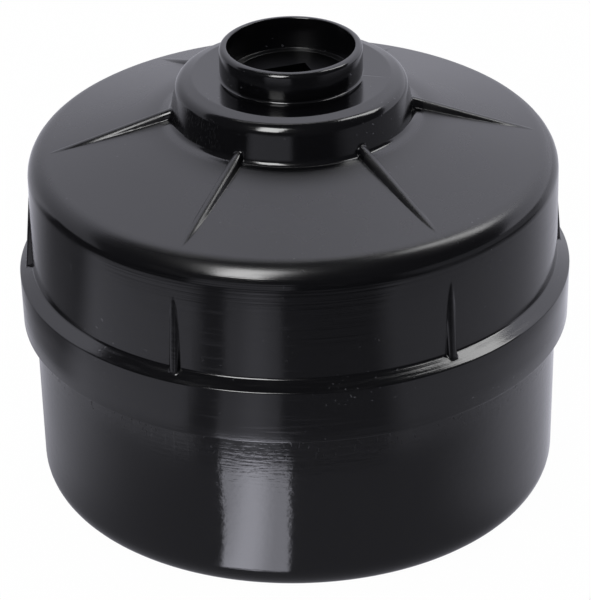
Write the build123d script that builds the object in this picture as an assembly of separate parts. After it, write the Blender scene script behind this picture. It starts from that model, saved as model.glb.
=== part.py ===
from build123d import *
import math
import os

# Spill-catching cap wrench for spin-on oil filters. All sizes are in millimetres and degrees.
# The tool stands on its open mouth. +Z runs up its axis, and the origin is at the centre of
# the ring that it stands on. In use it is turned over and pushed up over the filter.

# The filter that it fits, and the square of the ratchet that turns it
filter_across_flats = 93.0
flute_count = 15
drive_square = 9.6          # female 3/8 inch square
drive_depth = 14.0
drive_turn = 15.0           # square against the ribs

# Outside of the bell, from the band's lower edge up to the neck's rim
spill_gap = 5.65            # around the grip cup, inside the bell's wall
band_height = 12.0
band_draft = 1.4            # the band narrows downwards
shoulder_step = 2.75        # the wall stands this far inside the band
shoulder_rise = 1.9
wall_height = 24.6
eaves_rounding = 5.3        # where the wall turns into the roof
roof_slope = 15.8
boss_root_radius = 26.2
boss_height = 8.8
boss_draft = 10.0
boss_rim = 3.35             # the boss's top slopes down over this width at its edge
boss_rim_slope = 16.0
boss_rounding = 2.5
boss_root_rounding = 1.2
neck_radius = 15.1
neck_foot_height = 0.8
neck_foot_rounding = 0.5
neck_bead = 0.22            # the neck's upper part stands proud by this
neck_bead_height = 6.0
neck_wall = 1.62            # at the bead
neck_bore_depth = 7.2
neck_rounding = 1.1
neck_ledge = 1.5            # neck's bore to the bore under its floor that centres the hub

# Walls of the bell
shell_wall = 2.4
band_wall = 2.45
lap_cover = 0.9             # the lap ends this far below the band's top edge
edge_rounding = 0.4
rounding_chord = 2.0        # roundings are turned as short cones about this long

# Ribs on the bell: on the roof under the boss, and on the wall above the band
rib_count = 6
roof_rib_stop = 4.25        # a roof rib runs out this far inside the wall
roof_rib_height = 2.0       # at its foot, and it sinks into the roof from there
wall_rib_length = 17.2      # above the shoulder
wall_rib_height = 1.4
rib_width = 2.4
rib_chords = 6              # round the rib's crest
rib_root = 0.8              # how deep the ribs are rooted in the bell
rib_tip_depth = 0.06        # how far under the surface the crest ends

# Skirt
skirt_reveal = 39.4         # floor to the band's lower edge
skirt_wall = 2.4
skirt_draft = 1.0
foot_rounding = 6.5
foot_flat = 2.0             # least width of the ring that the tool stands on
mouth_clearance = 0.8       # between the filter's side and the skirt's mouth

# Seals
gasket_thickness = 1.2
wiper_thickness = 1.6
wiper_grip = 0.6            # the wiper's lip is this much smaller than the filter
seal_section = 1.4

# Grip cup, hub and fasteners
cup_wall = 1.8
cup_height = 18.0
cup_rounding = 6.0
flute_relief = 0.75         # the flutes' round corners stand outside the flats by this
crown_drop = 6.0            # eaves to the cup's crown
hub_flange_radius = 22.0
hub_flange_thickness = 3.0
seal_drop = 0.35            # hub's top to its seal groove
rivet_count = 3
rivet_radius = 2.0
rivet_head_radius = 3.3
rivet_head_height = 1.5
screw_count = 3
screw_inset = 0.6           # washers to the cup's rounding
screw_radius = 2.0
screw_head_radius = 3.8
screw_head_height = 2.4
screw_grip = 7.5            # length of the screw's shank inside its post
washer_radius = 4.6
washer_thickness = 0.8
post_radius = 4.4
post_draft = 1.5
pad_thickness = 4.5
pad_margin = 1.2            # pad to the rivet heads and to the washers

# Clearances
lap_clearance = 0.25        # skirt inside the band
gasket_gap = 0.05
fit_clearance = 0.05        # hub and shanks in their holes
grip_clearance = 0.15       # filter inside the cup
hole_clearance = 0.25       # screws through the cup

# Heights
band_low = skirt_reveal
band_top = band_low + band_height
wall_low = band_top + shoulder_rise
eaves = wall_low + wall_height
lap_top = band_top - lap_cover
skirt_top = lap_top - gasket_gap - gasket_thickness

# Radii
filter_radius = filter_across_flats / 2
flat_radius = filter_radius + grip_clearance
round_radius = flat_radius + flute_relief
bell_inner_radius = round_radius + cup_wall + spill_gap
wall_radius = bell_inner_radius + shell_wall
band_radius = wall_radius + shoulder_step
lap_radius = band_radius - band_wall
skirt_radius = lap_radius - lap_clearance
foot_radius = skirt_radius - skirt_top * math.tan(math.radians(skirt_draft))
mouth_radius = filter_radius + mouth_clearance
foot_arc = min(foot_rounding, foot_radius - mouth_radius - foot_flat)
bead_radius = neck_radius + neck_bead
neck_bore_radius = bead_radius - neck_wall
register_radius = neck_bore_radius - neck_ledge
cup_inner_rounding = max(cup_rounding - cup_wall, edge_rounding)
screw_circle = round_radius - cup_inner_rounding - washer_radius - screw_inset
hub_radius = register_radius - fit_clearance
rivet_circle = (hub_radius + hub_flange_radius) / 2
rivet_start = 180 / rivet_count     # midway between two screws


def roof(radius):
    return eaves + (wall_radius - radius) * math.tan(math.radians(roof_slope))


def ceiling(radius):
    return roof(radius) - shell_wall / math.cos(math.radians(roof_slope))


boss_root = roof(boss_root_radius)
boss_top = boss_root + boss_height
boss_top_radius = boss_root_radius - boss_height * math.tan(math.radians(boss_draft))
neck_step = boss_top + neck_foot_height
neck_top = neck_step + neck_bead_height
neck_floor = neck_top - neck_bore_depth
boss_ceiling = boss_top - shell_wall
crown_top = eaves - crown_drop
crown_low = crown_top - cup_wall
flange_top = crown_top + hub_flange_thickness


def turned(*corners):
    # Solid of revolution from an outline of (radius, height) corners, where a third value rounds
    # the corner off in chords.
    points = [(corner[0], 0, corner[1]) for corner in corners]
    roundings = [corner[2] if len(corner) > 2 else 0 for corner in corners]
    outline = FilletPolyline(*points, radius=roundings, close=True).order_edges()
    turns = []
    for edge in outline:
        chords = max(1, round(edge.length / rounding_chord)) if edge.geom_type == GeomType.CIRCLE else 1
        turns += [edge @ (index / chords) for index in range(chords)]
    return revolve(make_face(Polyline(*turns, close=True)), Axis.Z)


def disc(radius, low, high):
    return Pos(0, 0, low) * Cylinder(radius, high - low, align=(Align.CENTER, Align.CENTER, Align.MIN))


def ring(inner, outer, low, high):
    return disc(outer, low, high) - disc(inner, low, high)


def prism(across_flats, sides, low, high):
    # One corner points along +X.
    polygon = RegularPolygon(across_flats / 2, sides, major_radius=False)
    return Pos(0, 0, low) * extrude(polygon, high - low)


def around(shape, radius, count, start=0.0):
    step = 360 / count
    return [Rot(0, 0, start + step * index) * Pos(radius, 0, 0) * shape for index in range(count)]


def sinking_rib(foot, tip, outward, height):
    # A straight bar with a round crest that stands up by its height at the foot and runs down
    # into the surface at the tip.
    crest = foot + outward * height
    along = tip - outward * rib_tip_depth - crest
    half, depth = rib_width / 2, height + rib_root
    corners = [(-half, -depth), (half, -depth)]
    for index in range(rib_chords + 1):
        turn = math.pi * index / rib_chords
        corners.append((half * math.cos(turn), half * (math.sin(turn) - 1)))
    section = make_face(Polyline(*corners, close=True))
    return extrude(Plane(origin=crest, x_dir=outward.cross(along), z_dir=along) * section, along.length)


def roof_rib():
    foot_radius = boss_root_radius - shell_wall / 2
    foot = Vector(foot_radius, 0, roof(foot_radius))
    tip_radius = wall_radius - roof_rib_stop
    tip = Vector(tip_radius, 0, roof(tip_radius))
    return sinking_rib(foot, tip, Vector(0, 0, 1), roof_rib_height)


def wall_rib():
    foot = Vector(wall_radius, 0, wall_low - shoulder_rise / 2)
    tip = Vector(wall_radius, 0, wall_low + wall_rib_length)
    return sinking_rib(foot, tip, Vector(1, 0, 0), wall_rib_height)


def bell_outside():
    band_low_radius = band_radius - band_height * math.tan(math.radians(band_draft))
    return turned(
        (0, band_low),
        (band_low_radius, band_low),
        (band_radius, band_top, edge_rounding),
        (wall_radius, wall_low),
        (wall_radius, eaves, eaves_rounding),
        (boss_root_radius, boss_root, boss_root_rounding),
        (boss_top_radius, boss_top - boss_rim * math.tan(math.radians(boss_rim_slope)), boss_rounding),
        (boss_top_radius - boss_rim, boss_top),
        (neck_radius, boss_top, neck_foot_rounding),
        (neck_radius, neck_step),
        (bead_radius, neck_step + neck_bead),
        (bead_radius, neck_top, neck_rounding),
        (0, neck_top),
    )


def bell_cavity():
    below = band_low - shell_wall
    return turned(
        (0, below),
        (lap_radius, below),
        (lap_radius, lap_top),
        (bell_inner_radius, lap_top),
        (bell_inner_radius, ceiling(bell_inner_radius), max(eaves_rounding - shell_wall, edge_rounding)),
        (boss_root_radius - shell_wall, ceiling(boss_root_radius - shell_wall)),
        (boss_top_radius - shell_wall, boss_ceiling),
        (0, boss_ceiling),
    )


def screw_posts():
    # They grow towards the roof by their draft and end inside the bell's shell.
    height = boss_ceiling - crown_top
    spread = height * math.tan(math.radians(post_draft))
    post = Cone(post_radius, post_radius + spread, height, align=(Align.CENTER, Align.CENTER, Align.MIN))
    return around(Pos(0, 0, crown_top) * post, screw_circle, screw_count)


def bell_housing():
    ribs = around(roof_rib(), 0, rib_count) + around(wall_rib(), 0, rib_count)
    bell = bell_outside() + ribs - (bell_cavity() - screw_posts())
    neck_bore = disc(neck_bore_radius, neck_floor, neck_top)
    register = disc(register_radius, boss_ceiling, neck_floor)
    pilot = disc(screw_radius + fit_clearance, crown_top, crown_top + screw_grip + washer_thickness)
    return bell - neck_bore - register - around(pilot, screw_circle, screw_count)


def catch_skirt():
    # A drafted sleeve whose foot is turned in to the mouth. Its top runs up inside the band.
    return turned(
        (mouth_radius, 0),
        (foot_radius, 0, foot_arc),
        (skirt_radius, skirt_top),
        (skirt_radius - skirt_wall, skirt_top),
        (foot_radius - skirt_wall, skirt_wall, max(foot_arc - skirt_wall, edge_rounding)),
        (mouth_radius, skirt_wall),
    )


def lap_gasket():
    return ring(skirt_radius - skirt_wall, skirt_radius, skirt_top, skirt_top + gasket_thickness)


def mouth_wiper():
    # Lies on the turned-in foot and thins to a lip that reaches in past the mouth to the filter.
    return turned(
        (filter_radius - wiper_grip, skirt_wall),
        (foot_radius - foot_arc, skirt_wall),
        (foot_radius - foot_arc, skirt_wall + wiper_thickness),
        (mouth_radius, skirt_wall + wiper_thickness),
    )


def grip_cup():
    # A round drawn cup with a ring of flats pressed into its wall, so each flat ends in an arch
    # where it runs out into the crown's rounding.
    rim = crown_top - cup_height
    outside = turned(
        (0, rim),
        (round_radius + cup_wall, rim),
        (round_radius + cup_wall, crown_top, cup_rounding),
        (0, crown_top),
    )
    outside &= prism(2 * (flat_radius + cup_wall), flute_count, rim, crown_top)
    inside = turned(
        (0, rim),
        (round_radius, rim),
        (round_radius, crown_low, cup_inner_rounding),
        (0, crown_low),
    )
    inside &= prism(2 * flat_radius, flute_count, rim, crown_low)
    rivet_hole = disc(rivet_radius + fit_clearance, crown_low, crown_top)
    screw_hole = disc(screw_radius + hole_clearance, crown_low, crown_top)
    rivet_holes = around(rivet_hole, rivet_circle, rivet_count, rivet_start)
    return outside - inside - rivet_holes - around(screw_hole, screw_circle, screw_count)


def drive_hub():
    # Flange on the cup's crown, and a round body up into the bell that carries the square and
    # closes the neck's floor.
    groove_top = neck_floor - seal_drop
    hub = turned(
        (0, crown_top),
        (hub_flange_radius, crown_top),
        (hub_flange_radius, flange_top),
        (hub_radius, flange_top),
        (hub_radius, groove_top - seal_section),
        (hub_radius - seal_section, groove_top - seal_section),
        (hub_radius - seal_section, groove_top),
        (hub_radius, groove_top),
        (hub_radius, neck_floor),
        (0, neck_floor),
    )
    socket = Box(drive_square, drive_square, drive_depth, align=(Align.CENTER, Align.CENTER, Align.MAX))
    hub -= Pos(0, 0, neck_floor) * Rot(0, 0, drive_turn) * socket
    rivet_hole = disc(rivet_radius + fit_clearance, crown_top, flange_top)
    return hub - around(rivet_hole, rivet_circle, rivet_count, rivet_start)


def hub_seal():
    top = neck_floor - seal_drop - fit_clearance
    inner = hub_radius - seal_section + fit_clearance
    return ring(inner, hub_radius, top - seal_section + 2 * fit_clearance, top)


def hub_rivet():
    low_head = disc(rivet_head_radius, crown_low - rivet_head_height, crown_low)
    high_head = disc(rivet_head_radius, flange_top, flange_top + rivet_head_height)
    return low_head + high_head + disc(rivet_radius, crown_low, flange_top)


def crown_screw():
    seat = crown_low - washer_thickness
    screw = disc(screw_head_radius, seat - screw_head_height, seat)
    screw += disc(screw_radius, seat, crown_top + screw_grip)
    slot = Box(screw_head_radius * 1.2, screw_radius / 2, screw_head_height)
    low = Pos(0, 0, seat - screw_head_height)
    return screw - [low * slot, low * Rot(0, 0, 90) * slot]


def filter_pad():
    inner = rivet_circle + rivet_head_radius + pad_margin
    outer = screw_circle - washer_radius - pad_margin
    return ring(inner, outer, crown_low - pad_thickness, crown_low)


def screw_washer():
    return ring(screw_radius + hole_clearance, washer_radius, crown_low - washer_thickness, crown_low)


nodes = {
    "bell_housing": bell_housing(),
    "catch_skirt": catch_skirt(),
    "lap_gasket": lap_gasket(),
    "mouth_wiper": mouth_wiper(),
    "grip_cup": grip_cup(),
    "drive_hub": drive_hub(),
    "hub_seal": hub_seal(),
    "filter_pad": filter_pad(),
    "hub_rivets": Compound(around(hub_rivet(), rivet_circle, rivet_count, rivet_start)),
    "crown_screws": Compound(around(crown_screw(), screw_circle, screw_count)),
    "screw_washers": Compound(around(screw_washer(), screw_circle, screw_count)),
}

os.makedirs("parts", exist_ok=True)
for name, shape in nodes.items():
    export_step(shape, f"parts/{name}.step")
    print(name, round(shape.volume, 1))
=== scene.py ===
# A spill-catching cap wrench for oil filters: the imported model, its moulded shells and their finish.
import bmesh
import bpy
import math
from mathutils import Matrix, Vector


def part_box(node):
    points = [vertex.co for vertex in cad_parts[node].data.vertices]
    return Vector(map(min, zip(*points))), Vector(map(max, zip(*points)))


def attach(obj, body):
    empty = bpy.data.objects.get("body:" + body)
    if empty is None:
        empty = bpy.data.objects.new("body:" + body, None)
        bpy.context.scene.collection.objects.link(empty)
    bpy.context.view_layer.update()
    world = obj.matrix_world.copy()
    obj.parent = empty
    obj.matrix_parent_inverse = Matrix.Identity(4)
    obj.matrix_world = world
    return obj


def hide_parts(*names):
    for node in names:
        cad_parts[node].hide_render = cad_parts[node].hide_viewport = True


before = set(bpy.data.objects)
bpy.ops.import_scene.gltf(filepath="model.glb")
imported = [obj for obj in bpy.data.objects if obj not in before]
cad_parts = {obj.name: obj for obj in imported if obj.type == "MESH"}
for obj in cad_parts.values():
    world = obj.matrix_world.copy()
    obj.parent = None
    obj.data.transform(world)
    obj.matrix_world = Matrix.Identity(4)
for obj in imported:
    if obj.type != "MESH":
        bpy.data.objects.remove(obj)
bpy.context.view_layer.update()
mm = 0.001
touching = 1e-7
print("frame loaded:", sorted(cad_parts))


# Outlines and spins

def roundCorner(bm, vert, rounding, segments):
    # Swaps a corner of a flat outline for an arc that runs into both of its edges.
    ends = [edge.other_vert(vert).co - vert.co for edge in vert.link_edges]
    turn = math.pi - ends[0].angle(ends[1])
    bmesh.ops.bevel(bm, geom=[vert], affect="VERTICES", offset=rounding * math.tan(turn / 2),
                    offset_type="OFFSET", segments=segments, profile=0.5, material=-1)


def outline(corners, segments, spacing):
    # Closed wire in the XZ plane from (radius, height, rounding) corners, cut to the spacing.
    bm = bmesh.new()
    verts = [bm.verts.new((radius, 0, height)) for radius, height, rounding in corners]
    bm.faces.new(verts)
    for vert, corner in zip(verts, corners):
        if corner[2] > 0:
            roundCorner(bm, vert, corner[2], segments)
    bmesh.ops.delete(bm, geom=bm.faces[:], context="FACES_ONLY")
    for edge in bm.edges[:]:
        cuts = int(edge.calc_length() / spacing(edge))
        if cuts:
            bmesh.ops.subdivide_edges(bm, edges=[edge], cuts=cuts)
    return bm


def turnAbout(bm, verts, angle):
    bmesh.ops.rotate(bm, verts=verts, cent=(0, 0, 0), matrix=Matrix.Rotation(angle, 3, "Z"))


def fullTurn(bm, steps):
    bmesh.ops.spin(bm, geom=bm.verts[:] + bm.edges[:], cent=(0, 0, 0), axis=(0, 0, 1),
                   angle=2 * math.pi, steps=steps, use_merge=True)
    bmesh.ops.remove_doubles(bm, verts=bm.verts[:], dist=touching)


def joined(meshes):
    # One bmesh that holds several, for a piece made of more than one closed form.
    whole = bmesh.new()
    for bm in meshes:
        part = bpy.data.meshes.new("part")
        bm.to_mesh(part)
        bm.free()
        whole.from_mesh(part)
        bpy.data.meshes.remove(part)
    return whole


hairInside = 0.9999


def newPiece(name, bm, finish, body, replaced):
    # Takes millimetres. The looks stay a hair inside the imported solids.
    inside = mm * hairInside
    bmesh.ops.scale(bm, verts=bm.verts[:], vec=(inside, inside, mm))
    bmesh.ops.recalc_face_normals(bm, faces=bm.faces[:])
    for face in bm.faces:
        face.smooth = True
    mesh = bpy.data.meshes.new(name)
    bm.to_mesh(mesh)
    bm.free()
    piece = bpy.data.objects.new(name, mesh)
    bpy.context.scene.collection.objects.link(piece)
    mesh.materials.append(finish)
    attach(piece, body)
    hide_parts(replaced)
    print(name, len(mesh.polygons), "faces")


# Finishes

class Wire:
    # A shader socket that takes part in Python sums.
    def __init__(self, nodes, socket):
        self.nodes = nodes
        self.socket = socket

    def maths(self, operation, *values):
        return self.nodes.node("ShaderNodeMath", {"operation": operation}, dict(enumerate(values)))

    def __add__(self, other):
        return self.maths("ADD", self, other)

    def __radd__(self, other):
        return self.maths("ADD", other, self)

    def __sub__(self, other):
        return self.maths("SUBTRACT", self, other)

    def __rsub__(self, other):
        return self.maths("SUBTRACT", other, self)

    def __mul__(self, other):
        return self.maths("MULTIPLY", self, other)

    def __rmul__(self, other):
        return self.maths("MULTIPLY", other, self)


strokeCore = 0.3


class Nodes:
    # Adds to a node tree: node() adds any node, and the rest are short names for common ones.
    def __init__(self, tree):
        self.tree = tree

    def node(self, kind, settings, sockets, output=0):
        made = self.tree.nodes.new(kind)
        for key, value in settings.items():
            setattr(made, key, value)
        for key, value in sockets.items():
            self.feed(made.inputs[key], value)
        return Wire(self, made.outputs[output])

    def feed(self, socket, value):
        if isinstance(value, Wire):
            self.tree.links.new(value.socket, socket)
        else:
            socket.default_value = value

    def place(self, coordinate="Object"):
        return self.node("ShaderNodeTexCoord", {}, {}, coordinate)

    def split(self, vector):
        return [self.node("ShaderNodeSeparateXYZ", {}, {"Vector": vector}, axis) for axis in "XYZ"]

    def noise(self, scale, stretch=(1, 1, 1), detail=3.0):
        where = self.node("ShaderNodeMapping", {}, {"Vector": self.place(), "Scale": stretch})
        return self.node("ShaderNodeTexNoise", {}, {"Vector": where, "Scale": scale, "Detail": detail})

    def between(self, value, low, high):
        # 0 below low, 1 above high, smooth between them.
        return self.node("ShaderNodeMapRange", {"interpolation_type": "SMOOTHSTEP"},
                         {"Value": value, "From Min": low, "From Max": high})

    def below(self, value, low, high):
        # 1 below low, 0 above high, smooth between them.
        return 1 - self.between(value, low, high)

    def within(self, value, low, high, soft):
        # 1 between low and high, 0 outside them.
        return self.between(value, low - soft, low + soft) - self.between(value, high - soft, high + soft)

    def blend(self, factor, first, second):
        # The colour sockets of a Mix node are its seventh and eighth, and the third that it gives out.
        return self.node("ShaderNodeMix", {"data_type": "RGBA"}, {0: factor, 6: first, 7: second}, 2)

    def bump(self, height, depth, under=None):
        sockets = {"Height": height, "Distance": depth}
        if under is not None:
            sockets["Normal"] = under
        return self.node("ShaderNodeBump", {}, sockets)

    def vectors(self, operation, sockets, output=0):
        return self.node("ShaderNodeVectorMath", {"operation": operation}, sockets, output)

    def stroke(self, start, end, width):
        # 1 on a straight mark from start to end, in millimetres, and 0 beside it.
        start, end = Vector(start) * mm, Vector(end) * mm
        along = (end - start).normalized()
        offset = self.vectors("SUBTRACT", {0: self.place(), 1: start})
        reach = self.vectors("DOT_PRODUCT", {0: offset, 1: along}, "Value")
        held = self.node("ShaderNodeClamp", {}, {"Value": reach, "Min": 0.0, "Max": (end - start).length})
        foot = self.vectors("SCALE", {0: along, "Scale": held})
        gap = self.vectors("DISTANCE", {0: offset, 1: foot}, "Value")
        return self.below(gap, width * mm * strokeCore, width * mm)


class Finish(Nodes):
    # A node material.
    def __init__(self, name):
        self.material = bpy.data.materials.new(name)
        self.material.use_nodes = True
        super().__init__(self.material.node_tree)
        self.shader = self.tree.nodes["Principled BSDF"]

    def surface(self, **sockets):
        for key, value in sockets.items():
            self.feed(self.shader.inputs[key.replace("_", " ")], value)
        return self.material


# Bell: band, wall, roof, boss and neck in one moulding

bellShape = {
    "bandRadius": 60.0, "bandHeight": 12.0, "bandDraft": 1.4, "bandWall": 2.45, "lapCover": 0.9,
    "shoulderStep": 2.75, "shoulderRise": 1.9, "wallHeight": 24.6, "shellWall": 2.4,
    "eavesRounding": 5.3, "roofSlope": 15.8,
    "bossRootRadius": 26.2, "bossHeight": 8.8, "bossDraft": 10.0, "bossRim": 3.35, "rimSlope": 16.0,
    "bossRounding": 2.5, "rootRounding": 1.2,
    "neckRadius": 15.1, "neckFoot": 0.8, "neckFootRounding": 0.5, "neckBead": 0.22, "neckRounding": 1.1,
    "boreRadius": 13.7, "boreDepth": 7.2, "registerRadius": 12.2,
    "edge": 0.35, "fineEdge": 0.12, "shoulderEdge": 0.56, "rimEdge": 1.5, "boreEdge": 0.28,
    "arcSegments": 7, "weld": 0.001,
    "plainSpacing": 4.0, "plainFromNeck": 2.0, "ribSpacing": 0.6, "shoulderSpacing": 0.25,
    "shoulderReach": 0.3,
}
ribShape = {
    "count": 6, "width": 2.4, "fillet": 0.6, "filletShare": 0.6, "steepness": 8.0, "tipDepth": 0.06,
    "roofStop": 4.25, "roofHeight": 2.0, "wallLength": 17.2, "wallHeight": 1.4, "slack": 0.5,
    "turns": [(2.4, 15), (3.2, 40), (2.4, 15), (52.0, 24)], "start": -4.0,
}

bellLow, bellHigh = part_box("bell_housing")
bandLow, neckTop = bellLow.z / mm, bellHigh.z / mm
bandTop = bandLow + bellShape["bandHeight"]
wallLow = bandTop + bellShape["shoulderRise"]
eaves = wallLow + bellShape["wallHeight"]
wallRadius = bellShape["bandRadius"] - bellShape["shoulderStep"]
roofRise = math.tan(math.radians(bellShape["roofSlope"]))


def roof(radius):
    return eaves + (wallRadius - radius) * roofRise


def ceiling(radius):
    return roof(radius) - bellShape["shellWall"] / math.cos(math.atan(roofRise))


def bellCorners():
    shape = bellShape
    edge, fine, wall = shape["edge"], shape["fineEdge"], shape["shellWall"]
    bandFoot = shape["bandRadius"] - shape["bandHeight"] * math.tan(math.radians(shape["bandDraft"]))
    lapRadius, lapTop = shape["bandRadius"] - shape["bandWall"], bandTop - shape["lapCover"]
    rootRadius, bossRoot = shape["bossRootRadius"], roof(shape["bossRootRadius"])
    bossTop = bossRoot + shape["bossHeight"]
    bossRadius = rootRadius - shape["bossHeight"] * math.tan(math.radians(shape["bossDraft"]))
    rimDrop = shape["bossRim"] * math.tan(math.radians(shape["rimSlope"]))
    neckRadius, neckStep = shape["neckRadius"], bossTop + shape["neckFoot"]
    beadRadius = neckRadius + shape["neckBead"]
    boreRadius, floor = shape["boreRadius"], neckTop - shape["boreDepth"]
    innerRoot, innerWall = rootRadius - wall, wallRadius - wall
    outside = [
        (bandFoot, bandLow, edge), (shape["bandRadius"], bandTop, edge),
        (wallRadius, wallLow, shape["shoulderEdge"]), (wallRadius, eaves, shape["eavesRounding"]),
        (rootRadius, bossRoot, shape["rootRounding"]), (bossRadius, bossTop - rimDrop, shape["bossRounding"]),
        (bossRadius - shape["bossRim"], bossTop, shape["rimEdge"]),
        (neckRadius, bossTop, shape["neckFootRounding"]), (neckRadius, neckStep, fine),
        (beadRadius, neckStep + shape["neckBead"], fine), (beadRadius, neckTop, shape["neckRounding"]),
    ]
    inside = [
        (boreRadius, neckTop, shape["boreEdge"]), (boreRadius, floor, fine),
        (shape["registerRadius"], floor, fine),
        (shape["registerRadius"], bossTop - wall, 0), (bossRadius - wall, bossTop - wall, 0),
        (innerRoot, ceiling(innerRoot), 0), (innerWall, ceiling(innerWall), shape["eavesRounding"] - wall),
        (innerWall, lapTop, 0), (lapRadius, lapTop, 0), (lapRadius, bandLow, fine),
    ]
    return outside + inside


def softMax(low, high, fillet):
    # The larger of two heights, filleted where they are close.
    near = max(fillet - abs(low - high), 0)
    return max(low, high) + (near * near / (4 * fillet) if near else 0)


def barTop(side):
    # A round bar's height against its crest, nearly upright below its middle.
    half = ribShape["width"] / 2
    if side < half:
        return math.sqrt(half * half - side * side) - half
    return -half - (side - half) * ribShape["steepness"]


def sunkBar(base, surface, height, share, side):
    # Raises base onto a bar that sinks into the surface as the share goes from 1 to 0.
    rise = (height + ribShape["tipDepth"]) * share - ribShape["tipDepth"]
    fillet = min(ribShape["fillet"], max(rise, 0) * ribShape["filletShare"])
    return softMax(base, surface + rise + barTop(side), fillet)


def ribbed(point):
    # Lifts a point of the bell's outside onto the rib that lies along +X.
    radius, side, height = math.hypot(point.x, point.y), abs(point.y), point.z
    tip, foot = wallRadius - ribShape["roofStop"], bellShape["bossRootRadius"] - bellShape["shellWall"] / 2
    if foot < radius < tip and height > roof(radius) - ribShape["slack"]:
        share = (tip - radius) / (tip - foot)
        lifted = sunkBar(height, roof(radius), ribShape["roofHeight"], share, side)
        return Vector((point.x, point.y, lifted))
    low, high = wallLow - bellShape["shoulderRise"] / 2, wallLow + ribShape["wallLength"]
    if low < height < high and radius > wallRadius - ribShape["slack"]:
        share = (high - height) / (high - low)
        out = sunkBar(radius, wallRadius, ribShape["wallHeight"], share, side) / radius
        return Vector((point.x * out, point.y * out, height))
    return point.copy()


def bellSpacing(edge):
    # Fine where the ribs run, coarse on hidden and plain stretches.
    middle = (edge.verts[0].co + edge.verts[1].co) / 2
    slack = ribShape["slack"]
    hidden = middle.x < wallRadius - slack and middle.z < ceiling(middle.x) + slack
    atNeck = middle.x < bellShape["neckRadius"] + bellShape["plainFromNeck"]
    if atNeck or middle.z < bandTop or hidden:
        return bellShape["plainSpacing"]
    if middle.z < wallLow + bellShape["shoulderReach"]:
        return bellShape["shoulderSpacing"]
    return bellShape["ribSpacing"]


def bellMesh():
    bm = outline(bellCorners(), bellShape["arcSegments"], bellSpacing)
    turnAbout(bm, bm.verts[:], math.radians(ribShape["start"]))
    ring = bm.verts[:] + bm.edges[:]
    for angle, steps in ribShape["turns"]:
        swept = bmesh.ops.spin(bm, geom=ring, cent=(0, 0, 0), axis=(0, 0, 1),
                               angle=math.radians(angle), steps=steps)
        ring = swept["geom_last"]
    for vert in bm.verts:
        vert.co = ribbed(vert.co)
    whole = bm.verts[:] + bm.edges[:] + bm.faces[:]
    for index in range(1, ribShape["count"]):
        copy = bmesh.ops.duplicate(bm, geom=whole)["geom"]
        turned = [item for item in copy if isinstance(item, bmesh.types.BMVert)]
        turnAbout(bm, turned, 2 * math.pi * index / ribShape["count"])
    bmesh.ops.remove_doubles(bm, verts=bm.verts[:], dist=bellShape["weld"])
    return bm


postShape = {
    "count": 3, "circle": 38.0, "radius": 4.4, "draft": 1.5, "pilotRadius": 2.05, "pilotDepth": 8.3,
    "steps": 32, "spacing": 20.0,
}


def postMesh(angle):
    # One of the posts that hang from the ceiling and take a screw each.
    shape = postShape
    low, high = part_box("grip_cup")[1].z / mm, ceiling(shape["circle"]) + bellShape["shellWall"] / 2
    spread = (high - low) * math.tan(math.radians(shape["draft"]))
    pilotTop = low + shape["pilotDepth"]
    corners = [
        (shape["pilotRadius"], low, 0), (shape["radius"], low, 0), (shape["radius"] + spread, high, 0),
        (0, high, 0), (0, pilotTop, 0), (shape["pilotRadius"], pilotTop, 0),
    ]
    bm = outline(corners, 1, lambda edge: shape["spacing"])
    fullTurn(bm, shape["steps"])
    bmesh.ops.translate(bm, verts=bm.verts[:], vec=(shape["circle"], 0, 0))
    turnAbout(bm, bm.verts[:], angle)
    return bm


# Skirt: a drafted sleeve turned in at the foot

skirtShape = {
    "lapClearance": 0.25, "wall": 2.4, "draft": 1.0, "footRounding": 6.5, "mouthRadius": 47.3,
    "edge": 0.5, "arcSegments": 12, "steps": 192, "spacing": 2.5,
}


def skirtMesh():
    shape = skirtShape
    wall, edge, top = shape["wall"], shape["edge"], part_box("catch_skirt")[1].z / mm
    topRadius = bellShape["bandRadius"] - bellShape["bandWall"] - shape["lapClearance"]
    footRadius = topRadius - top * math.tan(math.radians(shape["draft"]))
    corners = [
        (shape["mouthRadius"], 0, edge), (footRadius, 0, shape["footRounding"]), (topRadius, top, edge),
        (topRadius - wall, top, edge), (footRadius - wall, wall, shape["footRounding"] - wall),
        (shape["mouthRadius"], wall, edge),
    ]
    bm = outline(corners, shape["arcSegments"], lambda edge: shape["spacing"])
    fullTurn(bm, shape["steps"])
    return bm


# Finishes of the pieces

plastic = {"base": (0.002, 0.002, 0.0025, 1), "dust": (0.12, 0.12, 0.13, 1)}

bellLook = {
    "wallRoughness": 0.13, "roofRoughness": 0.28, "eavesFade": (-3.0, 1.0), "rootFade": (0.027, 0.029),
    "mottle": 45, "mottleShare": 0.08, "wave": 14, "waveDepth": 0.0001, "grain": 2600, "grainDepth": 0.000006,
    "fineRings": (12, 12, 2400), "broadRings": (25, 25, 800), "ringDepth": 0.000035, "ringLeast": 0.2,
    "ringPatches": 24, "ringPatchEdge": (0.48, 0.62),
    "rubs": (70, 70, 1500), "rubEdge": (0.52, 0.72), "rubRoughness": 0.1, "rubDust": 0.015,
    "neckInside": (0.0135, 0.0138), "neckRoughness": 0.25, "rootBelow": (0.029, 0.035), "rootRoughness": 0.08,
    "bossSide": (0.0246, 0.0266, 0.0002), "scrapes": (4200, 4200, 45), "scrapeEdge": (0.6, 0.68),
    "scrapeAcross": (-0.019, -0.013), "scrapeDeep": (-0.006, 0.002),
    "scrapeRoughness": 0.2, "scrapeDust": 0.06,
    "hairline": ((14.8, -2.4, 95.4), (19.8, -4.0, 95.3), 0.3), "hairlineDepth": -6.0,
    "specks": 1500, "speckEdge": (0.79, 0.82), "speckPatches": 60, "speckPatchEdge": (0.5, 0.7),
    "speckDust": 0.5,
}


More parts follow.
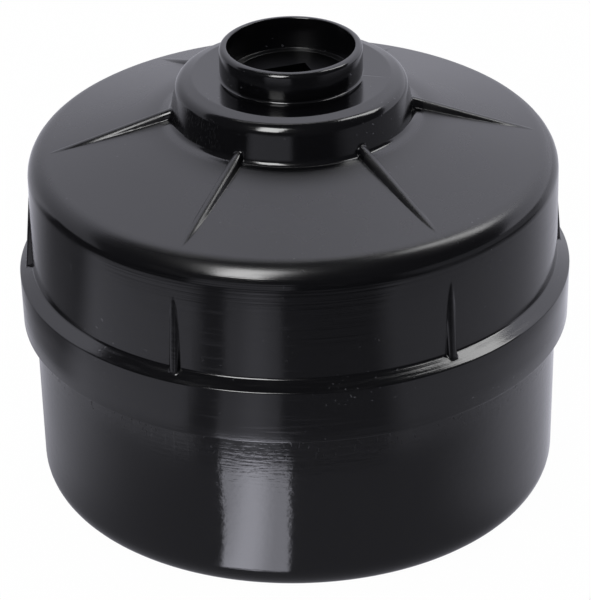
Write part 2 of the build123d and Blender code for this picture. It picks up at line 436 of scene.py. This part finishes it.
def bellFinish():
    # Moulded gloss black with fine draw lines round the wall, a few rubs and a little dust.
    look = bellLook
    finish = Finish("bellBlackPlastic")
    across, deep, height = finish.split(finish.place())
    radius = across.maths("SQRT", across * across + deep * deep)
    onRoof = finish.between(height, *((eaves + edge) * mm for edge in look["eavesFade"]))
    besideBoss = onRoof * finish.between(radius, *look["rootFade"])
    mottle = finish.noise(look["mottle"], detail=5)
    fineRings = finish.noise(1, stretch=look["fineRings"], detail=2)
    rings = fineRings + finish.noise(1, stretch=look["broadRings"], detail=2)
    grain = finish.noise(look["grain"], detail=2)
    rubbed = finish.between(finish.noise(1, stretch=look["rubs"], detail=4), *look["rubEdge"])
    sheen = look["wallRoughness"] + besideBoss * (look["roofRoughness"] - look["wallRoughness"])
    inNeck = finish.below(radius, *look["neckInside"]) * onRoof
    onBossSide = finish.within(radius, *look["bossSide"]) * onRoof
    scrapes = finish.between(finish.noise(1, stretch=look["scrapes"], detail=1), *look["scrapeEdge"])
    scraped = scrapes * onBossSide
    scraped = scraped * finish.below(across, *look["scrapeAcross"]) * finish.below(deep, *look["scrapeDeep"])
    hairline = finish.stroke(*look["hairline"])
    worn = rubbed * (1 - onRoof)
    atRoot = besideBoss * finish.below(radius, *look["rootBelow"]) * look["rootRoughness"]
    roughness = sheen + atRoot + (mottle - 0.5) * look["mottleShare"] + worn * look["rubRoughness"]
    roughness = roughness + inNeck * look["neckRoughness"] + scraped * look["scrapeRoughness"]
    dusty = finish.between(finish.noise(look["speckPatches"]), *look["speckPatchEdge"])
    specks = finish.between(finish.noise(look["specks"], detail=0), *look["speckEdge"]) * dusty
    marks = specks * look["speckDust"] + worn * look["rubDust"] + scraped * look["scrapeDust"]
    colour = finish.blend(marks, plastic["base"], plastic["dust"])
    fine = finish.bump(grain + hairline * look["hairlineDepth"], look["grainDepth"])
    ringPatches = finish.between(finish.noise(look["ringPatches"]), *look["ringPatchEdge"])
    ringed = finish.bump(rings * (1 - onRoof) * (look["ringLeast"] + ringPatches), look["ringDepth"], fine)
    wavy = finish.bump(finish.noise(look["wave"]), look["waveDepth"], ringed)
    return finish.surface(Base_Color=colour, Roughness=roughness, Normal=wavy)


skirtLook = {
    "roughness": 0.11, "underBand": (-9.0, -1.0), "mottle": 35, "mottleShare": 0.1,
    "scuffs": (1400, 1400, 60), "scuffEdge": (0.56, 0.74), "scuffPatches": 30, "scuffPatchEdge": (0.5, 0.66),
    "scuffLeast": 0.1, "scuffRoughness": 0.25, "scuffDust": 0.25, "bandDust": 0.04,
    "nicks": (2100, 2100, 800), "nickEdge": (0.72, 0.76), "nickRoughness": 0.4,
    "grit": 900, "gritShare": 0.12, "gritUnderBand": 0.15, "gritDepth": 0.000024,
    "turned": (150, 150, 1800), "turnedDepth": 0.000025, "wave": 12, "waveDepth": 0.00012,
}


def skirtFinish():
    # Glossier than the bell, with rubbing marks where the band slides over it.
    look = skirtLook
    finish = Finish("skirtBlackPlastic")
    height = finish.split(finish.place())[2]
    underBand = finish.between(height, *((bandLow + edge) * mm for edge in look["underBand"]))
    scuffs = finish.between(finish.noise(1, stretch=look["scuffs"], detail=3), *look["scuffEdge"])
    patches = finish.between(finish.noise(look["scuffPatches"]), *look["scuffPatchEdge"])
    rubbed = scuffs * patches * (look["scuffLeast"] + underBand)
    nicks = finish.between(finish.noise(1, stretch=look["nicks"], detail=0), *look["nickEdge"]) * underBand
    mottle = finish.noise(look["mottle"], detail=4)
    grit = finish.noise(look["grit"], detail=3)
    turned = finish.noise(1, stretch=look["turned"], detail=2)
    marks = underBand * look["bandDust"] + rubbed * look["scuffDust"]
    colour = finish.blend(marks, plastic["base"], plastic["dust"])
    pitted = (grit - 0.5) * (look["gritShare"] + underBand * look["gritUnderBand"])
    roughness = look["roughness"] + (mottle - 0.5) * look["mottleShare"] + pitted
    roughness = roughness + rubbed * look["scuffRoughness"] + nicks * look["nickRoughness"]
    fine = finish.bump(grit, look["gritDepth"])
    lined = finish.bump(turned, look["turnedDepth"], fine)
    wavy = finish.bump(finish.noise(look["wave"]), look["waveDepth"], lined)
    return finish.surface(Base_Color=colour, Roughness=roughness, Normal=wavy)


rubberLook = {
    "bloom": 160, "bloomShare": 0.6, "bloomRoughness": 0.2, "paler": (2.2, 2.2, 2.1),
    "skin": 3000, "skinDepth": 0.00002,
}


def rubberFinish(name, base, roughness):
    look = rubberLook
    finish = Finish(name)
    bloom = finish.noise(look["bloom"], detail=4)
    pale = [channel * share for channel, share in zip(base, look["paler"])] + [1]
    colour = finish.blend(bloom * look["bloomShare"], base, pale)
    skin = finish.bump(finish.noise(look["skin"], detail=3), look["skinDepth"])
    dull = roughness + (bloom - 0.5) * look["bloomRoughness"]
    return finish.surface(Base_Color=colour, Roughness=dull, Normal=skin)


steelLook = {
    "cloud": 70, "cloudShare": 0.7, "cloudRoughness": 0.12, "drawnDepth": 0.00001, "drawnRoughness": 0.15,
    "grain": 900, "grainDepth": 0.00002,
}


def steelFinish(name, base, tint, roughness, stretch):
    # Stretched noise gives the drawn lines of pressed or turned metal.
    look = steelLook
    finish = Finish(name)
    drawn = finish.noise(1, stretch=stretch, detail=4)
    cloud = finish.noise(look["cloud"], detail=4)
    colour = finish.blend(cloud * look["cloudShare"], base, tint)
    grained = finish.bump(finish.noise(look["grain"]), look["grainDepth"])
    worn = finish.bump(drawn, look["drawnDepth"], grained)
    sheen = roughness + (drawn - 0.5) * look["drawnRoughness"] + (cloud - 0.5) * look["cloudRoughness"]
    return finish.surface(Base_Color=colour, Roughness=sheen, Metallic=1.0, Normal=worn)


def dress(node, finish):
    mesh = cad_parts[node].data
    mesh.materials.clear()
    mesh.materials.append(finish)


posts = [postMesh(2 * math.pi * index / postShape["count"]) for index in range(postShape["count"])]
newPiece("bell", joined([bellMesh()] + posts), bellFinish(), "bell_body", "bell_housing")
newPiece("skirt", skirtMesh(), skirtFinish(), "skirt_body", "catch_skirt")

# Rubbers are (base, roughness), and steels (base, tint, roughness, stretch of the drawn lines).
rubbers = {
    "sealRubber": ((0.022, 0.022, 0.022, 1), 0.6),
    "padRubber": ((0.035, 0.035, 0.034, 1), 0.75),
}
steels = {
    "fastenerZinc": ((0.55, 0.55, 0.54, 1), (0.66, 0.66, 0.62, 1), 0.3, (500, 500, 500)),
    "zincPlatedCup": ((0.5, 0.5, 0.5, 1), (0.62, 0.62, 0.58, 1), 0.32, (60, 60, 1200)),
    "blackOxide": ((0.006, 0.006, 0.007, 1), (0.012, 0.012, 0.012, 1), 0.5, (300, 300, 300)),
}
finishes = {name: rubberFinish(name, *values) for name, values in rubbers.items()}
finishes.update({name: steelFinish(name, *values) for name, values in steels.items()})
nodesOfFinish = {
    "sealRubber": ["lap_gasket", "mouth_wiper", "hub_seal"], "padRubber": ["filter_pad"],
    "zincPlatedCup": ["grip_cup"], "blackOxide": ["drive_hub"],
    "fastenerZinc": ["hub_rivets", "crown_screws", "screw_washers"],
}
for name, nodes in nodesOfFinish.items():
    for node in nodes:
        dress(node, finishes[name])
print("CAD nodes dressed")


# Studio: pale floor with painted reflections, bright sky behind, strip lamps, camera

studio = {
    "floorSize": 12.0, "floorColour": (0.95, 0.95, 0.95, 1), "floorRoughness": 0.9, "floorSpecular": 0.1,
    "whiteShare": 0.985, "tint": 1.12, "lampAim": (0, 0, 0.08),
    "skyFront": 0.08, "skyLow": 0.86, "skyGain": 1.45, "skyTilt": 0.32,
    "skyTop": 67.0, "skyTopEdge": (-0.02, 0.02),
}

# Glow levels of the painted floor reflections, which only glossy rays see.
# Places across and deep and the reach from the axis are in metres. A turn is across over reach, so -1 is
# on the left and 1 on the right. Edges are (low, high), and stretches are (low, high, softness).
paintedReflectionLook = {
    "footReach": (0.1, 0.114), "footGlow": 0.24, "footSides": 0.3, "footSideEdge": (0.05, 0.14),
    "shellReach": (0.17, 0.24), "shellGlow": 0.12, "leftGlow": 0.48, "leftTurn": (-0.68, -0.58),
    "leftDeep": (-0.02, 0.015), "rightGlow": 0.3, "rightTurn": (0.38, 0.55),
    "farReach": (0.24, 0.3), "farGlow": 0.05, "farLeft": 0.5, "farLeftTurn": (-0.69, -0.09, 0.03),
    "farLeftDeep": (-0.01, 0.01), "farRight": 0.25, "farRightTurn": (0.5, 0.8),
    "backGlow": 0.68, "backDeep": (-0.08, 0.05), "backSlant": 0.5, "backLeft": 0.065,
    "backLeftEdge": (-0.1, 0.02), "backNearShare": 0.35, "backReach": (0.085, 0.13),
    "nearReach": (0.085, 0.14), "nearLeft": 0.2, "nearLeftAcross": (-0.13, -0.06, 0.012),
    "nearLeftDeep": (-0.05, 0.0), "nearRight": 0.35, "nearRightAcross": (0.05, 0.13, 0.012),
    "nearRightDeep": (-0.08, -0.02),
    "wedge": 3.2, "wedgeReach": (0.0625, 0.1065, 0.0015), "wedgeLeftTurn": -0.257, "wedgeSpread": 2.2,
    "wedgeLeftEdge": (-0.012, 0.012), "wedgeRightTurn": (-0.132, -0.108),
    "core": 2.2, "coreTurn": (-0.38, -0.24, 0.06),
    "farWedge": 0.4, "farWedgeTurn": (-0.49, -0.165, 0.02), "farCore": 0.25,
}


def paintedFloorReflection(finish):
    # Painted reflections: the glow that glossy rays see on the floor, standing in for mirrored light and
    # shade.
    # Within footReach of the axis the skirt shows it, and from there to shellReach the band and wall do.
    # A bright wedge in front, to the left, is a painted highlight.
    look = paintedReflectionLook
    between, below, within = finish.between, finish.below, finish.within
    across, deep = finish.split(finish.place())[:2]
    aside = across.maths("ABSOLUTE", across)
    reach = across.maths("SQRT", across * across + deep * deep)
    turn = across.maths("DIVIDE", across, reach)
    foot = below(reach, *look["footReach"])
    shell = below(reach, *look["shellReach"]) * (1 - foot)
    left = below(turn, *look["leftTurn"]) * below(deep, *look["leftDeep"]) * look["leftGlow"]
    right = between(turn, *look["rightTurn"]) * look["rightGlow"]
    atFoot = look["footGlow"] + between(aside, *look["footSideEdge"]) * look["footSides"]
    plain = look["farGlow"] + foot * atFoot + shell * (look["shellGlow"] + left + right)
    farLeft = within(turn, *look["farLeftTurn"]) * below(deep, *look["farLeftDeep"]) * look["farLeft"]
    farRight = between(turn, *look["farRightTurn"]) * look["farRight"]
    plain = plain + between(reach, *look["farReach"]) * (farLeft + farRight)
    pulledLeft = below(across, *look["backLeftEdge"]) * look["backLeft"]
    behind = between(deep - aside * look["backSlant"] - pulledLeft, *look["backDeep"])
    # Painted shade: the glow behind is held down near the object, standing in for its contact shadow.
    nearShare = look["backNearShare"]
    behind = behind * (nearShare + (1 - nearShare) * between(reach, *look["backReach"]))
    plain = plain + behind * (look["backGlow"] - plain)
    nearRight = within(across, *look["nearRightAcross"]) * between(deep, *look["nearRightDeep"])
    nearLeft = within(across, *look["nearLeftAcross"]) * between(deep, *look["nearLeftDeep"])
    beside = nearRight * look["nearRight"] + nearLeft * look["nearLeft"]
    beside = beside * below(reach, *look["nearReach"])
    # Painted highlight: a bright wedge and core that the skirt and wall mirror as a lit strip.
    core = within(turn, *look["coreTurn"])
    wedgeLeft = look["wedgeLeftTurn"] - look["wedgeSpread"] * reach
    wedge = between(turn - wedgeLeft, *look["wedgeLeftEdge"]) - between(turn, *look["wedgeRightTurn"])
    wedge = (wedge * look["wedge"] + core * look["core"]) * within(reach, *look["wedgeReach"])
    farWedge = within(turn, *look["farWedgeTurn"]) * look["farWedge"] + core * look["farCore"]
    return plain + beside + wedge + farWedge * shell


def whiteFloor():
    # Diffuse floor that keeps the shadow, lifted to white for the camera. Glossy rays see the painted floor
    # reflections instead.
    finish = Finish("paleFloor")
    tree = finish.tree
    path = tree.nodes.new("ShaderNodeLightPath")
    rays = ["Is Camera Ray", "Is Transmission Ray", "Is Glossy Ray"]
    toCamera, transmitted, glossy = [Wire(finish, path.outputs[ray]) for ray in rays]
    finish.surface(Base_Color=studio["floorColour"], Roughness=studio["floorRoughness"],
                   Specular_IOR_Level=studio["floorSpecular"])
    lit = Wire(finish, finish.shader.outputs["BSDF"])
    white = finish.node("ShaderNodeEmission", {}, {"Color": (1, 1, 1, 1), "Strength": 1.0})
    level = paintedFloorReflection(finish)
    paintedReflectionGrey = finish.node("ShaderNodeCombineColor", {}, {0: level, 1: level, 2: level * studio["tint"]})
    # Emission for glossy rays only: the painted reflection.
    gloss = finish.node("ShaderNodeEmission", {}, {"Color": paintedReflectionGrey, "Strength": 1.0})
    shown = (toCamera + transmitted) * studio["whiteShare"]
    lifted = finish.node("ShaderNodeMixShader", {}, {0: shown, 1: lit, 2: white})
    whole = finish.node("ShaderNodeMixShader", {}, {0: glossy, 1: lifted, 2: gloss})
    tree.links.new(whole.socket, tree.nodes["Material Output"].inputs["Surface"])
    return finish.material


floorMesh = bmesh.new()
bmesh.ops.create_grid(floorMesh, x_segments=8, y_segments=8, size=studio["floorSize"] / 2)
mesh = bpy.data.meshes.new("floor")
floorMesh.to_mesh(mesh)
floorMesh.free()
mesh.materials.append(whiteFloor())
floor = bpy.data.objects.new("floor", mesh)
bpy.context.scene.collection.objects.link(floor)


def paintSky():
    # Bright from the horizon behind up to skyTop degrees, dim overhead and in front.
    world = bpy.data.worlds.new("studio")
    bpy.context.scene.world = world
    world.use_nodes = True
    sky = Nodes(world.node_tree)
    across, deep, height = sky.split(sky.place("Generated"))
    top = math.radians(studio["skyTop"])
    behind = sky.between(deep * math.sin(top) - height * math.cos(top), *studio["skyTopEdge"])
    bright = studio["skyLow"] + height * height * studio["skyGain"] + across * studio["skyTilt"]
    level = studio["skyFront"] + behind * (bright - studio["skyFront"])
    colour = sky.node("ShaderNodeCombineColor", {}, {0: level, 1: level, 2: level * studio["tint"]})
    sky.feed(world.node_tree.nodes["Background"].inputs["Color"], colour)


paintSky()


def softbox(name, azimuth, elevation, distance, size, radiance, seenIn):
    # Area lamp that faces the object. Azimuth 0 is in front and 90 on +X, in degrees. It shows in
    # reflections, or lights matt surfaces.
    lamp = bpy.data.lights.new(name, "AREA")
    lamp.shape = "RECTANGLE"
    lamp.size, lamp.size_y = size
    lamp.energy = radiance * math.pi * size[0] * size[1]
    turn, rise = math.radians(azimuth), math.radians(elevation)
    towards = Vector((math.sin(turn) * math.cos(rise), -math.cos(turn) * math.cos(rise), math.sin(rise)))
    lampObject = bpy.data.objects.new(name, lamp)
    lampObject.location = towards * distance + Vector(studio["lampAim"])
    lampObject.rotation_euler = towards.to_track_quat("Z", "Y").to_euler()
    lampObject.visible_camera = False
    lampObject.visible_glossy = seenIn == "gloss"
    lampObject.visible_diffuse = seenIn == "matt"
    bpy.context.scene.collection.objects.link(lampObject)


# Each lamp is (azimuth, elevation, distance, size, radiance, seenIn).
lamps = {
    "leftStrip": (-28, 44, 1.5, (0.5, 0.9), 13.5, "gloss"),
    "rightStrip": (101, 52, 1.5, (0.32, 0.8), 8.0, "gloss"),
    "topLine": (190, 76, 1.5, (1.4, 0.05), 5.0, "gloss"),
    "frontFill": (-20, 45, 1.5, (1.6, 1.6), 2.2, "matt"),
}
for name, lamp in lamps.items():
    softbox(name, *lamp)

cameraShape = {
    "place": (-0.0498, -0.7119, 0.4328), "aim": (0, 0, 0.04036), "lens": 221.9, "sensor": 36, "roll": 1.08,
}
lens = bpy.data.cameras.new("camera")
lens.lens = cameraShape["lens"]
lens.sensor_width = cameraShape["sensor"]
camera = bpy.data.objects.new("camera", lens)
camera.location = cameraShape["place"]
towards = (Vector(cameraShape["aim"]) - camera.location).to_track_quat("-Z", "Y").to_matrix()
level = Matrix.Rotation(math.radians(-cameraShape["roll"]), 3, "Z")
camera.rotation_euler = (towards @ level).to_euler()
bpy.context.scene.collection.objects.link(camera)
bpy.context.scene.camera = camera
bpy.context.scene.view_settings.view_transform = "Standard"
